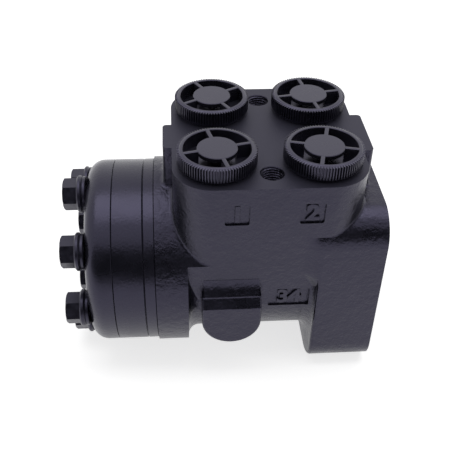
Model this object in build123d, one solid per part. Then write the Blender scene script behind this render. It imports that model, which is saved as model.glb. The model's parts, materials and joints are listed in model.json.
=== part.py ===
from build123d import *
import math
import os

# Orbital steering unit: a hand-wheel driven rotary valve in front of an orbiting gear set.
# The origin is the centre of the mounting face, on the spool axis. +X points out of the
# mounting face to the steering column, and +Z points up, out of the port face.
# All sizes are in millimetres.

# ---- housing casting -------------------------------------------------------------
housing_length = 101.5         # mounting face to the ground rear face
flange_width = 84.0            # mounting flange across Y
flange_height = 90.0           # mounting flange across Z
flange_corner_r = 15.0
flange_depth = 29.3            # mounting face to the back of the flange
flange_edge_r = 1.5            # cast rounding round the back of the flange
root_r = 5.0                   # cast fillets where the round body meets both flanges
port_setback = 51.3            # mounting face to the centre of the port group
port_face_height = 64.0        # spool axis to the ground port face
block_length = 83.0
block_width = 84.0             # at the port face
waist_width = 77.0             # at the spool axis, so the sides have draft
block_corner_r = 17.2
barrel_r = 45.0
rear_flange_depth = 14.2
rear_ear_width = 19.4          # rib from the port face down to the barrel
rear_ear_reach = 3.9
front_ear_width = 30.4         # rib from the port face down to the flange
front_ear_reach = 4.8
ear_corner_r = 1.8
crease_r = 2.0                 # cast fillet between port block and barrel
flange_crease_r = 1.5          # cast fillet between port block and flange

# blind boss and sunk marking fields on the -Y side
boss_r = 13.5
boss_setback = 67.8            # mounting face to the boss centre
boss_drop = 8.0                # boss centre below the spool axis
boss_proud = 7.0               # side wall at the spool axis to the boss face
boss_crest = 4.8               # top of the shoulder over the boss
boss_slope = 4.6               # height of the sloped part of the shoulder
boss_step = 3.0                # how far the shoulder falls back towards its crest
boss_edge_r = 1.0
pad_height = 10.8              # sunk marking fields, left plain
pad_width = 10.4
wide_pad_width = 18.8
pad_depth = 0.9
pad_corner_r = 1.0
pad_row_height = 50.3          # spool axis to the middle of the upper pads
pad_setbacks = (66.3, 34.7)    # mounting face to each upper pad
wide_pad_setback = 41.2
wide_pad_height = 0.0

# ---- interfaces --------------------------------------------------------------------
port_spacing = 45.0            # square pattern of the four ports
port_r = 10.48                 # G 1/2 thread, major radius
port_depth = 16.0
port_chamfer = 1.0
port_bolt_spacing = 61.6       # two M10 holes between the ports
mounting_pcd = 82.5            # four M10 holes in the mounting face
m10_r = 5.0                    # thread major radius
m10_chamfer = 0.3
port_bolt_depth = 16.0
mounting_bolt_depth = 18.0
pilot_r = 22.5
pilot_depth = 2.5

# ---- valve set -----------------------------------------------------------------------
sleeve_r = 19.0
spool_r = 14.0
neck_r = 13.0
spool_bore_r = 10.5
valve_clearance = 0.03         # radial, sleeve in housing and spool in sleeve
end_clearance = 0.1            # axial, at ground end faces
neck_setback = 0.5             # floor of the pilot to the front end of the spool
neck_land_clearance = 0.3
neck_chamfer = 0.8
spline_teeth = 12
spline_major_r = 10.3
spline_minor_r = 8.7
socket_depth = 20.0
seal_r = 17.0
seal_fit = 0.05
seal_setback = 2.5             # floor of the pilot to the dust seal
dust_seal_width = 4.5
shaft_seal_width = 5.0
seal_land = 1.5
bearing_wall = 3.0             # housing wall between shaft seal and thrust bearing
race_thickness = 1.0
needle_r = 1.0
needle_count = 18
needle_fit = 0.02              # needle in its pocket
cage_thickness = 1.2
race_margin = 0.2              # races to the spool bore
cage_margin = 0.4              # cage inside the races' rims
pocket_margin = 0.6            # needle ends to the cage rims
race_inner_r = 13.5
spring_setback = 31.0          # mounting face to the spring pack
spring_width = 6.0
spring_leaf = 0.5              # thickness of one leaf
leaf_gap = 0.02
spring_slot_clearance = 0.4    # along the axis
spring_end_clearance = 0.3     # leaf tips to the spring ring
spring_ring_thickness = 0.9
spring_ring_width = 8.0
pin_setback = 46.0             # mounting face to the cross pin
pin_r = 4.0
pin_fit = 0.03
pin_end_clearance = 0.2
pin_chamfer = 0.5
deflection = 8.0               # degrees that the spool turns in the sleeve
groove_depth = 2.0
groove_width = 5.0
gallery_r = 3.0
gallery_angle = 30.0           # where each gallery meets its groove, from the top
tank_groove = 46.0             # mounting face to each groove round the sleeve
left_groove = 57.0
right_groove = 66.0
pump_groove = 75.0
timing_setback = 84.0          # mounting face to the timing holes
timing_hole_r = 1.6
flow_hole_angle = 15.0         # first of the holes in each groove of the sleeve
spool_slot_width = 2.6
spool_slot_depth = 0.8
spool_slot_angle = 30.0
spool_swing_clearance = 0.3    # cross pin in the spool, beyond the deflection

# ---- gear set and covers -------------------------------------------------------------
stack_wall = 5.7               # plate, ring and cover outside the bolt holes
plate_thickness = 5.15
ring_width = 13.9
cover_thickness = 12.4
cover_edge_r = 7.5
seam_chamfer = 0.4
lobe_count = 7                 # lobes on the ring, one more than on the rotor
lobe_circle_r = 33.7           # also the bolt circle
lobe_r = 8.5
eccentricity = 3.0
gear_clearance = 0.06
points_per_lobe = 24           # support points of the rotor outline, two to each arc
lobe_root_r = 2.0
chamber_port_r = 2.4           # passage from the valve to each gear chamber
chamber_port_circle_r = 28.0
link_hole_r = 10.6
seal_ring_inset = 3.3          # rim of the stack to the middle of each seal ring
seal_ring_section = 1.5
seal_ring_clearance = 0.03

# ---- drive link -----------------------------------------------------------------------
link_r = 6.5
fork_r = 8.8
fork_length = 9.0              # on each side of the cross pin
fork_clearance = 0.2
fork_floor_clearance = 0.9     # room for the tilt of the link
fork_chamfer = 1.0
link_head_r = 9.8
link_head_root_r = 8.2
link_head_width = 8.4
link_head_crown = 0.8
tooth_share = 0.42             # of the pitch, at the root of an outer tooth
space_share = 0.62             # of the pitch, at the mouth of an inner tooth space
tooth_taper = 0.55             # tip width over root width
spacer_r = 8.0
spacer_width = 3.6
spacer_chamfer = 0.5

# ---- cover bolts -------------------------------------------------------------------------
bolt_r = 4.0
bolt_hole_r = 4.5
bolt_engagement = 16.0
bolt_hole_end = 2.0            # hole beyond the end of the bolt
first_bolt_angle = 90.0        # one bolt at the top
bolt_thread_clearance = 0.03
bolt_head_across_flats = 13.0
bolt_head_height = 6.4
bolt_head_chamfer = 0.9
bolt_crown_depth = 0.54
washer_r = 8.7
washer_thickness = 2.4
washer_chamfer = 0.7
seal_washer_r = 8.2
seal_washer_thickness = 1.6
seal_washer_chamfer = 0.3

# ---- transport plugs ---------------------------------------------------------------------
plug_r = 17.0
plug_base_r = 15.6
plug_base_height = 1.5
plug_head_height = 7.9
plug_rim_inner_r = 14.35
plug_rim_chamfer = 0.8
plug_disc_r = 8.6
plug_spoke_width = 1.8
plug_floor = 1.6               # thickness under the annular recess
plug_shank_clearance = 0.25
plug_shank_length = 12.0
plug_wall = 2.0
plug_turns = {"plug_front_left": 14.0, "plug_front_right": -14.0,
              "plug_back_left": 30.0, "plug_back_right": 10.0}

# ---- check valve in the pump port ------------------------------------------------------
valve_cavity_r = 5.2
valve_cavity_depth = 9.0
valve_seat_r = 7.0
valve_seat_thickness = 4.0
valve_seat_hole_r = 3.2
valve_seat_fit = 0.02
ball_gap = 0.05                # ball to the floor of its cavity
check_ball_r = 4.0

# ---- derived places ----------------------------------------------------------------------
rear_face = -housing_length
plate_rear = rear_face - plate_thickness
ring_rear = plate_rear - ring_width
cover_rear = ring_rear - cover_thickness
bolt_seat = cover_rear - seal_washer_thickness - washer_thickness
seal_front = -pilot_depth - seal_setback
shaft_seal_front = seal_front - dust_seal_width - seal_land
shaft_seal_rear = shaft_seal_front - shaft_seal_width
bearing_front = shaft_seal_rear - bearing_wall
sleeve_front = bearing_front - 2 * race_thickness - 2 * needle_r - 2 * end_clearance
sleeve_rear = rear_face + end_clearance
rotor_front = plate_rear - end_clearance / 2
rotor_rear = ring_rear + end_clearance / 2
link_head_front = rotor_front - (rotor_front - rotor_rear - spacer_width - link_head_width) / 3
link_head_rear = link_head_front - link_head_width
link_tilt = math.degrees(math.atan2(eccentricity, -pin_setback - (link_head_front + link_head_rear) / 2))
lobe_step = 360.0 / lobe_count
rotor_lobes = lobe_count - 1
side_draft = (block_width - waist_width) / 2 / port_face_height
boss_reach = waist_width / 2 + boss_proud
stack_r = lobe_circle_r + bolt_hole_r + stack_wall
seal_ring_r = stack_r - seal_ring_inset
spring_pack = 4 * (spring_leaf + leaf_gap)
seal_inner_r = neck_r + valve_clearance
race_outer_r = sleeve_r - race_margin
port_places = {
    "plug_front_left": (-port_setback - port_spacing / 2, -port_spacing / 2),
    "plug_front_right": (-port_setback + port_spacing / 2, -port_spacing / 2),
    "plug_back_left": (-port_setback - port_spacing / 2, port_spacing / 2),
    "plug_back_right": (-port_setback + port_spacing / 2, port_spacing / 2),
}
pump_port = port_places["plug_back_left"]


def rod(radius, x_low, x_high, y=0.0, z=0.0):
    """Cylinder along X between two stations."""
    return Pos((x_low + x_high) / 2, y, z) * Rot(0, 90, 0) * Cylinder(radius, x_high - x_low)


def tube(outer_r, inner_r, x_low, x_high):
    """Plain ring about the spool axis."""
    return rod(outer_r, x_low, x_high) - rod(inner_r, x_low - 1, x_high + 1)


def post(radius, x, y, z_low, z_high):
    """Cylinder along Z between two heights."""
    return Pos(x, y, (z_low + z_high) / 2) * Cylinder(radius, z_high - z_low)


def drilling(start, end, radius):
    """Straight passage between two points."""
    path = Vector(*end) - Vector(*start)
    return Plane(origin=start, z_dir=path) * Cylinder(
        radius, path.length, align=(Align.CENTER, Align.CENTER, Align.MIN))


def round_the_circle(radius, count, first=first_bolt_angle):
    """Y and Z of points spaced evenly on a circle, with the angle of each."""
    for index in range(count):
        angle = first + index * 360.0 / count
        yield radius * math.cos(math.radians(angle)), radius * math.sin(math.radians(angle)), angle


def root_fillet(x, towards):
    """Hollow fillet ring between the round underside and a flange face at x."""
    inner = waist_width / 2
    corner = Plane.XZ * make_face(Polyline(
        (x, inner - 1), (x, inner + root_r), (x + towards * root_r, inner + root_r),
        (x + towards * root_r, inner - 1), (x, inner - 1)))
    hollow = Plane.XZ * (Pos(x + towards * root_r, inner + root_r) * Circle(root_r))
    return revolve(corner - hollow, Axis.X)


def edges_in(shape, x_span, z_span, wanted):
    """Edges that lie inside a slab of X and Z and pass a test of their box."""
    found = []
    for edge in shape.edges():
        box = edge.bounding_box()
        if box.min.X < x_span[0] or box.max.X > x_span[1]:
            continue
        if box.min.Z < z_span[0] or box.max.Z > z_span[1]:
            continue
        if wanted(edge, box):
            found.append(edge)
    return found


def casting_body():
    """Outer form of the iron casting: barrel, port block with its ears, and mounting flange."""
    waist = waist_width / 2
    top = block_width / 2
    flange_back = -flange_depth
    barrel_end = rear_face + rear_flange_depth
    block_rear = -port_setback - block_length / 2
    block_front = -port_setback + block_length / 2
    flange_top = flange_height / 2

    upper = Plane.YZ * (Circle(barrel_r) & make_face(Polyline(
        (-waist, 0), (-top, port_face_height), (top, port_face_height), (waist, 0), (-waist, 0))))
    lower = Plane.YZ * (Circle(waist) & (Pos(0, -waist / 2) * Rectangle(2 * waist, waist)))
    trunk = Pos(flange_back, 0, 0) * extrude(upper + lower, barrel_end - flange_back)
    outline_low = RectangleRounded(block_length, waist_width, block_corner_r)
    outline_top = RectangleRounded(block_length, block_width, block_corner_r)
    block = Pos(-port_setback, 0, 0) * loft([outline_low, Pos(0, 0, port_face_height) * outline_top])
    flange_outline = Plane.YZ * RectangleRounded(flange_width, flange_height, flange_corner_r)
    flange = extrude(flange_outline, -flange_depth)
    body = trunk + block + flange + rod(barrel_r, rear_face, barrel_end)
    body += ear(block_rear, rear_ear_reach, rear_ear_width)
    body += ear(block_front, front_ear_reach, front_ear_width)

    flange_rim = edges_in(
        body, (flange_back - 0.1, flange_back + 0.1), (-flange_top - 1, flange_top - flange_corner_r + 0.1),
        lambda edge, box: box.min.Z < -waist - 0.1 or max(-box.min.Y, box.max.Y) > flange_width / 2 - 0.1)
    body = fillet(flange_rim, flange_edge_r)
    for end in (block_rear - rear_ear_reach, block_front + front_ear_reach):
        corners = [edge for edge in body.edges().filter_by(Axis.Z) if abs(edge.center().X - end) < 0.01]
        body = fillet(corners, ear_corner_r)
    front_seam = edges_in(
        body, (block_front - block_corner_r - 0.1, -0.1), (flange_top - flange_corner_r, flange_top + 1),
        lambda edge, box: edge.geom_type != GeomType.LINE)
    body = fillet(front_seam, flange_crease_r)
    rear_seam = edges_in(
        body, (rear_face + 1, block_rear + block_corner_r + 0.1), (waist / 2, barrel_r + 1),
        lambda edge, box: edge.geom_type != GeomType.LINE and (
            abs(box.min.X - barrel_end) > 0.1 or abs(box.max.X - barrel_end) > 0.1))
    body = fillet(rear_seam, crease_r)
    prism = extrude(flange_outline, -2 * flange_depth)
    return body + root_fillet(barrel_end, 1) + (root_fillet(flange_back, -1) & prism)


def ear(end, reach, width):
    """Rib down one end of the port block."""
    root = barrel_r - block_corner_r
    return Pos(end, 0, (port_face_height + root) / 2) * Box(2 * reach, width, port_face_height - root)


def blind_boss():
    """Unmachined boss on the -Y side, with a sloped shoulder over it."""
    crest = boss_drop + boss_crest
    depth = boss_reach - waist_width / 4
    lower_half = Circle(boss_r) - Pos(0, boss_r) * Rectangle(2 * boss_r, 2 * boss_r)
    outline = lower_half + Pos(0, crest / 2) * Rectangle(2 * boss_r, crest)
    place = Plane(origin=(-boss_setback, -boss_reach, -boss_drop), x_dir=(1, 0, 0), z_dir=(0, -1, 0))
    boss = place * extrude(outline, -depth)
    brow = boss.edges().filter_by(Axis.X).sort_by(Axis.Z)[-2:].sort_by(Axis.Y)[0]
    face = boss.faces().sort_by(Axis.Y)[0]
    boss = chamfer(brow, boss_slope, boss_step, reference=face)
    front = [edge for edge in boss.edges() if edge.center().Y < -boss_reach + boss_step + 0.1]
    return fillet(front, boss_edge_r)


def boss_brow():
    """Hollow cast fillet that runs up the side wall above the boss."""
    wall = -waist_width / 2 - side_draft * boss_crest
    reach = boss_reach - boss_step + wall
    corner = Pos(wall - reach / 2 + 1, boss_crest + reach / 2 - 1) * Rectangle(reach + 2, reach + 2)
    profile = Plane.YZ * (corner - Pos(wall - reach, boss_crest + reach) * Circle(reach))
    length = 2 * (boss_r - boss_edge_r)
    return Pos(-boss_setback - length / 2, 0, 0) * extrude(profile, length)


def side_field(x, z, width, height):
    """Sunk field with rounded corners, on the drafted -Y side."""
    place = Plane(origin=(x, -waist_width / 2 - side_draft * max(z, 0), z), x_dir=(1, 0, 0),
                  z_dir=(0, -1, -side_draft))
    return place * extrude(RectangleRounded(width, height, pad_corner_r), 1, both=True) \
        - place * Pos(0, 0, -pad_depth) * extrude(Rectangle(2 * width, 2 * height), -1)


def countersunk_post(radius, x, y, top, depth, chamfer_size):
    """Blind hole down from the port face, with its mouth chamfered."""
    mouth = Pos(x, y, top - chamfer_size / 2) * Cone(radius, radius + chamfer_size, chamfer_size)
    return post(radius, x, y, top - depth, top + 1) + mouth


def countersunk_rod(radius, y, z, front, depth, chamfer_size):
    """Blind hole back from the mounting face, with its mouth chamfered."""
    mouth = Pos(front - chamfer_size / 2, y, z) * Rot(0, 90, 0) * Cone(
        radius, radius + chamfer_size, chamfer_size)
    return rod(radius, front - depth, front + 1, y, z) + mouth


def housing():
    """Machined casting: ports, galleries, spool bore, seal seats and bolt holes."""
    body = casting_body() + blind_boss()
    body += boss_brow()
    for setback in pad_setbacks:
        body -= side_field(-setback, pad_row_height, pad_width, pad_height)
    body -= side_field(-wide_pad_setback, wide_pad_height, wide_pad_width, pad_height)

    # spool bore, seal seats and pilot
    body -= rod(sleeve_r, rear_face - 1, bearing_front)
    body -= rod(neck_r + neck_land_clearance, bearing_front - 1, 1)
    body -= rod(seal_r, shaft_seal_rear, shaft_seal_front)
    body -= rod(seal_r, seal_front - dust_seal_width, 1)
    body -= rod(pilot_r, -pilot_depth, 1)
    for station in (tank_groove, left_groove, right_groove, pump_groove):
        body -= rod(sleeve_r + groove_depth, -station - groove_width / 2, -station + groove_width / 2)

    # ports, their galleries to the bore grooves, and the check valve cavity
    stations = {"plug_front_left": right_groove, "plug_front_right": left_groove,
                "plug_back_left": pump_groove, "plug_back_right": tank_groove}
    port_floor = port_face_height - port_depth
    cavity_floor = port_floor - valve_seat_thickness - valve_cavity_depth
    bore_edge = sleeve_r + groove_depth / 2
    for name, (x, y) in port_places.items():
        body -= countersunk_post(port_r, x, y, port_face_height, port_depth, port_chamfer)
        side = 1 if y > 0 else -1
        start = (x, y, port_floor + gallery_r)
        if (x, y) == pump_port:
            start = (x, y, cavity_floor + gallery_r)
        end = (-stations[name], side * bore_edge * math.sin(math.radians(gallery_angle)),
               bore_edge * math.cos(math.radians(gallery_angle)))
        body -= drilling(start, end, gallery_r)
    x, y = pump_port
    body -= post(valve_seat_r, x, y, port_floor - valve_seat_thickness, port_floor + 1)
    body -= post(valve_cavity_r, x, y, cavity_floor, port_floor)

    # passages from the timing holes to the gear chambers
    chambers = round_the_circle(1.0, lobe_count, first_bolt_angle + lobe_step / 2)
    for y_unit, z_unit, angle in chambers:
        start = (rear_face - 1, chamber_port_circle_r * y_unit, chamber_port_circle_r * z_unit)
        end = (-timing_setback, (sleeve_r - 1) * y_unit, (sleeve_r - 1) * z_unit)
        body -= drilling(start, end, chamber_port_r)

    # threaded holes
    for y in (-port_bolt_spacing / 2, port_bolt_spacing / 2):
        body -= countersunk_post(m10_r, -port_setback, y, port_face_height, port_bolt_depth, m10_chamfer)
    for y, z, angle in round_the_circle(mounting_pcd / 2, 4, 45.0):
        body -= countersunk_rod(m10_r, y, z, 0, mounting_bolt_depth, m10_chamfer)
    for y, z, angle in round_the_circle(lobe_circle_r, lobe_count):
        hole_end = rear_face + bolt_engagement + bolt_hole_end
        body -= rod(bolt_r + bolt_thread_clearance, rear_face - 1, hole_end, y, z)
    body -= seal_ring_groove(rear_face, 1)
    return body


def seal_ring_groove(face, into):
    """Square groove in a face across X; into is the side on which the metal lies."""
    half = seal_ring_section / 2 + seal_ring_clearance
    depth = seal_ring_section + 2 * seal_ring_clearance
    low, high = sorted((face - into, face + into * depth))
    return tube(seal_ring_r + half, seal_ring_r - half, low, high)


def seal_ring(face, into):
    """Square-cut rubber ring that lies in a groove."""
    half = seal_ring_section / 2
    near = face + into * seal_ring_clearance
    low, high = sorted((near, near + into * seal_ring_section))
    return tube(seal_ring_r + half, seal_ring_r - half, low, high)


def stack_disc(x_low, x_high):
    """Disc of the rear stack with chamfered rims."""
    disc = rod(stack_r, x_low, x_high)
    return chamfer(disc.edges().filter_by(GeomType.CIRCLE), seam_chamfer)


def with_bolt_holes(piece, x_low, x_high):
    """Clearance holes for the cover bolts."""
    for y, z, angle in round_the_circle(lobe_circle_r, lobe_count):
        piece -= rod(bolt_hole_r, x_low - 1, x_high + 1, y, z)
    return piece


def distributor_plate():
    """Ground plate with the link hole and one passage to each gear chamber."""
    plate = with_bolt_holes(stack_disc(plate_rear, rear_face), plate_rear, rear_face)
    plate -= rod(link_hole_r, plate_rear - 1, rear_face + 1)
    for y, z, angle in round_the_circle(chamber_port_circle_r, lobe_count, first_bolt_angle + lobe_step / 2):
        plate -= rod(chamber_port_r, plate_rear - 1, rear_face + 1, y, z)
    return plate


def gear_ring():
    """Fixed outer wheel with round lobes; the cover bolts pass through the lobes."""
    root = lobe_circle_r + 2 * eccentricity - lobe_r + gear_clearance
    chamber = Circle(root)
    for y, z, angle in round_the_circle(lobe_circle_r, lobe_count):
        chamber -= Pos(y, z) * Circle(lobe_r)
    corners = chamber.vertices()
    chamber = fillet(corners, lobe_root_r)
    ring = stack_disc(ring_rear, plate_rear)
    ring -= extrude(Pos(ring_rear - 1, 0, 0) * (Plane.YZ * chamber), ring_width + 2)
    ring = with_bolt_holes(ring, ring_rear, plate_rear)
    return ring - seal_ring_groove(plate_rear, -1) - seal_ring_groove(ring_rear, 1)


def rotor_point(turn):
    """Point of the trochoid that stays in touch with all the round lobes, less the clearance."""
    reach = lobe_r + gear_clearance
    tilt = math.atan2(math.sin((1 - lobe_count) * turn),
                      lobe_circle_r / (eccentricity * lobe_count) - math.cos((1 - lobe_count) * turn))
    across = lobe_circle_r * math.cos(turn) - reach * math.cos(turn + tilt) \
        - eccentricity * math.cos(lobe_count * turn)
    along = -lobe_circle_r * math.sin(turn) + reach * math.sin(turn + tilt) \
        + eccentricity * math.sin(lobe_count * turn)
    return -along, across


def spline_outline(minor_r, major_r, teeth, share):
    """Toothed outline; share is the part of the pitch that a tooth takes at its root."""
    outline = Circle(minor_r)
    pitch = 2 * math.pi / teeth
    root_half = pitch * share / 2
    tip_half = root_half * tooth_taper
    inside = minor_r * 0.97
    for index in range(teeth):
        corners = []
        flanks = ((inside, -root_half), (major_r, -tip_half), (major_r, tip_half), (inside, root_half))
        for radius, turn in flanks:
            angle = index * pitch + turn
            corners.append((radius * math.cos(angle), radius * math.sin(angle)))
        outline += make_face(Polyline(*corners, corners[0]))
    return outline


def splined_hole(x_low, x_high, y=0.0, z=0.0):
    """Void of an internal spline."""
    outline = spline_outline(spline_minor_r, spline_major_r, spline_teeth, space_share)
    return extrude(Pos(x_low, y, z) * (Plane.YZ * outline), x_high - x_low)


def rotor():
    """Orbiting inner wheel, one lobe fewer than the ring, with an internal spline."""
    count = rotor_lobes * points_per_lobe
    points = [rotor_point(2 * math.pi * index / count) for index in range(count)] + [rotor_point(0)]
    arcs = [ThreePointArc(*points[index:index + 3]) for index in range(0, count, 2)]
    outline = make_face(Wire(arcs))
    blank = extrude(Pos(rotor_rear, 0, eccentricity) * (Plane.YZ * outline), rotor_front - rotor_rear)
    return blank - splined_hole(rotor_rear - 1, rotor_front + 1, 0, eccentricity)


def drive_link():
    """Cardan shaft: fork on the cross pin, crowned splined head in the rotor."""
    head_front = link_head_front + pin_setback
    head_rear = link_head_rear + pin_setback
    shaft = rod(link_r, head_front - 1, 0)
    fork = rod(fork_r, -fork_length, fork_length)
    fork = chamfer(fork.edges().filter_by(GeomType.CIRCLE), fork_chamfer)
    slot_floor = -pin_r - fork_floor_clearance
    slot = Pos((fork_length + 1 + slot_floor) / 2, 0, 0) * Box(
        fork_length + 1 - slot_floor, 4 * fork_r, 2 * (pin_r + fork_clearance))
    outline = spline_outline(link_head_root_r, link_head_r, spline_teeth, tooth_share)
    head = extrude(Pos(head_rear, 0, 0) * (Plane.YZ * outline), link_head_width)
    crown = rod(link_head_r, head_rear, head_front)
    crown = chamfer(crown.edges().filter_by(GeomType.CIRCLE), link_head_crown)
    link = shaft + fork + (head & crown) - slot
    return Pos(-pin_setback, 0, 0) * Rot(0, link_tilt, 0) * link


def rotor_spacer():
    """Loose distance piece that keeps the drive link off the cover."""
    blank = rod(spacer_r, rotor_rear, rotor_rear + spacer_width, 0, eccentricity)
    return chamfer(blank.edges().filter_by(GeomType.CIRCLE), spacer_chamfer)


def sleeve():
    """Outer valve sleeve with timing holes, oil grooves, spring slots and the pin hole."""
    outer = sleeve_r - valve_clearance
    body = tube(outer, spool_r + valve_clearance, sleeve_rear, sleeve_front)
    for station in (tank_groove, left_groove, right_groove, pump_groove):
        for index in range(rotor_lobes):
            body -= Pos(-station, 0, 0) * Rot(flow_hole_angle + index * 360.0 / rotor_lobes, 0, 0) * post(
                timing_hole_r, 0, 0, 0, 2 * sleeve_r)
    for index in range(2 * rotor_lobes):
        body -= Pos(-timing_setback, 0, 0) * Rot(index * 180.0 / rotor_lobes, 0, 0) * post(
            timing_hole_r, 0, 0, 0, 2 * sleeve_r)
    body -= Pos(-pin_setback, 0, 0) * Rot(90, 0, 0) * Cylinder(pin_r + pin_fit, 3 * sleeve_r)
    body -= spring_slot(2 * sleeve_r)
    body -= tube(sleeve_r + 1, sleeve_r - spring_ring_thickness - valve_clearance,
                 -spring_setback - spring_ring_width / 2, -spring_setback + spring_ring_width / 2)
    return body


def spring_slot(reach):
    """Slot through valve parts for the leaf spring pack."""
    return Pos(-spring_setback, 0, 0) * Box(
        spring_width + spring_slot_clearance, spring_pack + end_clearance, 2 * reach)


def spool():
    """Inner valve spool with the splined socket for the column shaft."""
    front = -pilot_depth - neck_setback
    body = rod(spool_r, sleeve_rear, sleeve_front) + rod(neck_r, sleeve_front - 1, front)
    body = chamfer(body.faces().sort_by(Axis.X)[-1].edges(), neck_chamfer)
    socket_end = front - socket_depth
    body -= splined_hole(socket_end, front + 1)
    body -= rod(spline_minor_r, sleeve_rear - 1, front)
    body -= rod(spool_bore_r, sleeve_rear - 1, -spring_setback + spring_width)
    swing = spool_r * math.sin(math.radians(deflection))
    body -= Pos(-pin_setback, 0, 0) * Rot(90, 0, 0) * Cylinder(
        pin_r + swing + spool_swing_clearance, 3 * spool_r)
    body -= spring_slot(2 * spool_r)
    slot_length = timing_setback - right_groove
    groove = Pos(-timing_setback + slot_length / 2, 0, spool_r) * Box(
        slot_length, spool_slot_width, 2 * spool_slot_depth)
    for index in range(rotor_lobes):
        body -= Rot(spool_slot_angle + index * 360.0 / rotor_lobes, 0, 0) * groove
    return body


def leaf_springs(arched):
    """Centring springs: two flat leaves between two pairs of arched ones."""
    length = 2 * (sleeve_r - spring_ring_thickness - spring_end_clearance)
    if arched:
        offsets = (-1.5, 1.5)
    else:
        offsets = (-0.5, 0.5)
    leaves = []
    for offset in offsets:
        y = offset * (spring_leaf + leaf_gap)
        leaves.append(Pos(-spring_setback, y, 0) * Box(spring_width, spring_leaf, length))
    return leaves


def cross_pin():
    """Pin through sleeve, spool and fork."""
    blank = Cylinder(pin_r, 2 * (sleeve_r - valve_clearance - pin_end_clearance))
    blank = chamfer(blank.edges().filter_by(GeomType.CIRCLE), pin_chamfer)
    return Pos(-pin_setback, 0, 0) * Rot(90, 0, 0) * blank


def thrust_needles():
    """Needles of the thrust bearing and the cage that spaces them."""
    middle = bearing_front - race_thickness - end_clearance - needle_r
    inner = race_inner_r + cage_margin
    outer = race_outer_r - cage_margin
    length = outer - inner - 2 * pocket_margin
    cage = tube(outer, inner, middle - cage_thickness / 2, middle + cage_thickness / 2)
    needles = []
    for index in range(needle_count):
        turn = Rot(index * 360.0 / needle_count, 0, 0)
        needle = Pos(middle, 0, (inner + outer) / 2) * Cylinder(needle_r, length)
        pocket = Pos(middle, 0, (inner + outer) / 2) * Cylinder(
            needle_r + needle_fit, length + 2 * needle_fit)
        cage -= turn * pocket
        needles.append(turn * needle)
    return [cage] + needles


def end_cover():
    """Rear cover with a rounded rim."""
    cover = rod(stack_r, cover_rear, ring_rear)
    cover = fillet(cover.faces().sort_by(Axis.X)[0].edges(), cover_edge_r)
    cover = chamfer(cover.faces().sort_by(Axis.X)[-1].edges(), seam_chamfer / 2)
    return with_bolt_holes(cover, cover_rear, ring_rear)


def cover_bolt():
    """Hexagon-head bolt, on the spool axis."""
    head_end = bolt_seat - bolt_head_height
    corner_r = bolt_head_across_flats / math.sqrt(3)
    head = extrude(Pos(bolt_seat, 0, 0) * (Plane.YZ * RegularPolygon(corner_r, 6)), -bolt_head_height)
    turned = rod(corner_r, head_end, bolt_seat)
    turned = chamfer(turned.faces().sort_by(Axis.X)[0].edges(), bolt_crown_depth, bolt_head_chamfer)
    return (head & turned) + rod(bolt_r, bolt_seat, rear_face + bolt_engagement)


def washer(outer_r, thickness, rear, rim):
    """Washer on the spool axis, with both edges of its rim chamfered."""
    ring = tube(outer_r, bolt_hole_r, rear, rear + thickness)
    middle = (outer_r + bolt_hole_r) / 2
    edges = [edge for edge in ring.edges().filter_by(GeomType.CIRCLE) if edge.radius > middle]
    return chamfer(edges, rim)


def round_the_lobes(piece):
    """Copies of a piece on the bolt circle."""
    return [Pos(0, y, z) * piece for y, z, angle in round_the_circle(lobe_circle_r, lobe_count)]


def transport_plug(x, y, turn):
    """Moulded plug: knurled rim, centre disc on four spokes, hollow shank."""
    base = port_face_height
    rim = base + plug_head_height
    shank_r = port_r - plug_shank_clearance
    head = post(plug_base_r, 0, 0, base, base + plug_base_height + 1)
    head += post(plug_r, 0, 0, base + plug_base_height, rim)
    head = chamfer(head.faces().sort_by(Axis.Z)[-1].edges(), plug_rim_chamfer)
    recess = post(plug_rim_inner_r, 0, 0, base + plug_floor, rim + 1) \
        - post(plug_disc_r, 0, 0, base, rim + 2)
    spokes = Pos(0, 0, (base + rim) / 2) * (
        Box(2 * plug_rim_inner_r + 1, plug_spoke_width, plug_head_height)
        + Box(plug_spoke_width, 2 * plug_rim_inner_r + 1, plug_head_height))
    head = head - (recess - spokes)
    shank = post(shank_r, 0, 0, base - plug_shank_length, base + 1)
    shank = chamfer(shank.faces().sort_by(Axis.Z)[0].edges(), plug_rim_chamfer)
    hollow = post(plug_disc_r - plug_wall / 2, 0, 0, base - plug_shank_length - 1, rim - plug_wall)
    return Pos(x, y, 0) * Rot(0, 0, turn) * (head + shank - hollow)


def check_valve_seat():
    """Seat ring pressed into the floor of the pump port."""
    x, y = pump_port
    top = port_face_height - port_depth
    ring = post(valve_seat_r - valve_seat_fit, x, y, top - valve_seat_thickness, top)
    return ring - post(valve_seat_hole_r, x, y, top - valve_seat_thickness - 1, top + 1)


def check_ball():
    """Ball that lies in the cavity under the seat and lifts to close it."""
    x, y = pump_port
    floor = port_face_height - port_depth - valve_seat_thickness - valve_cavity_depth
    return Pos(x, y, floor + check_ball_r + ball_gap) * Sphere(check_ball_r)


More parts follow.
